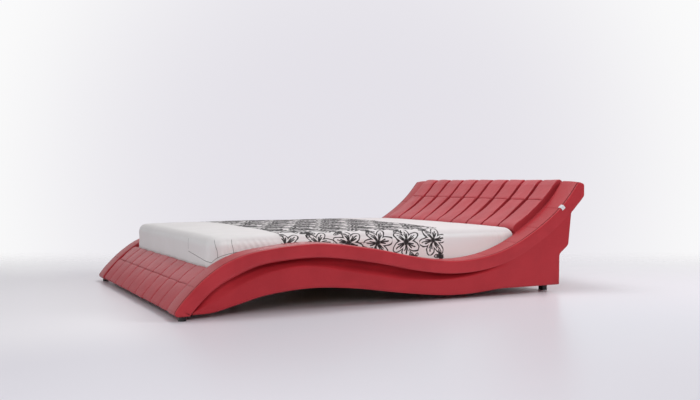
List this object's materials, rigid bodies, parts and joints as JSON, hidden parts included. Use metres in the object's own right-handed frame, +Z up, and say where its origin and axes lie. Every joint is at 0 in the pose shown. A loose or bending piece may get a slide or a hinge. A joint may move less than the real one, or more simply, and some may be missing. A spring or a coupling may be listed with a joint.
{
  "type": "leather bed",
  "caption": "Low leather platform double bed with wave-shaped side ribbons, channelled sloping head and foot pads, a slatted base and a mattress.",
  "frame": {"origin": "on the floor, under the middle of the bed's bounding box", "axes": "+X across the bed, to the right as seen from the foot end looking at the headboard; +Y from the foot to the head; +Z up"},
  "size_m": [1.93, 2.6556, 0.6999],
  "materials": {
    "leather": "fine-grained red upholstery leather, semi-matt",
    "mattress_cover": "white knitted cotton cover with a printed band of black line flowers",
    "slat_wood": "clear-lacquered bent beech plywood",
    "board_wood": "raw birch plywood",
    "dark_board": "black-stained board",
    "steel": "zinc-plated",
    "black_plastic": "matt black",
    "webbing": "grey woven webbing",
    "back_cloth": "black non-woven cloth over a thin board"
  },
  "bodies": {
    "root": {"beam_hanger_foot": "steel", "beam_hanger_head": "steel", "bolt_foot_left_board": "steel", "bolt_foot_left_rail": "steel", "bolt_foot_right_board": "steel", "bolt_foot_right_rail": "steel", "bolt_head_left_board": "steel", "bolt_head_left_rail": "steel", "bolt_head_right_board": "steel", "bolt_head_right_rail": "steel", "centre_beam": "board_wood", "centre_leg_1": "black_plastic", "centre_leg_2": "black_plastic", "centre_leg_3": "black_plastic", "corner_bracket_foot_left": "steel", "corner_bracket_foot_right": "steel", "corner_bracket_head_left": "steel", "corner_bracket_head_right": "steel", "foot_cleat": "board_wood", "foot_glide_left": "black_plastic", "foot_glide_right": "black_plastic", "footboard_frame": "dark_board", "footboard_pad_lower": "leather", "footboard_pad_upper": "leather", "head_cleat": "board_wood", "head_foot_left": "black_plastic", "head_foot_right": "black_plastic", "headboard_back_cover": "back_cloth", "headboard_frame": "leather", "headboard_pad_lower": "leather", "headboard_pad_upper": "leather", "mattress": "mattress_cover", "rail_core_left": "board_wood", "rail_core_right": "board_wood", "ribbon_left": "leather", "ribbon_right": "leather", "skirt_left": "leather", "skirt_right": "leather", "slat_01": "slat_wood", "slat_02": "slat_wood", "slat_03": "slat_wood", "slat_04": "slat_wood", "slat_05": "slat_wood", "slat_06": "slat_wood", "slat_07": "slat_wood", "slat_08": "slat_wood", "slat_09": "slat_wood", "slat_10": "slat_wood", "slat_11": "slat_wood", "slat_12": "slat_wood", "slat_13": "slat_wood", "slat_14": "slat_wood", "slat_ledger_left": "board_wood", "slat_ledger_right": "board_wood", "slat_strap_left": "webbing", "slat_strap_right": "webbing"}
  },
  "joints": []
}
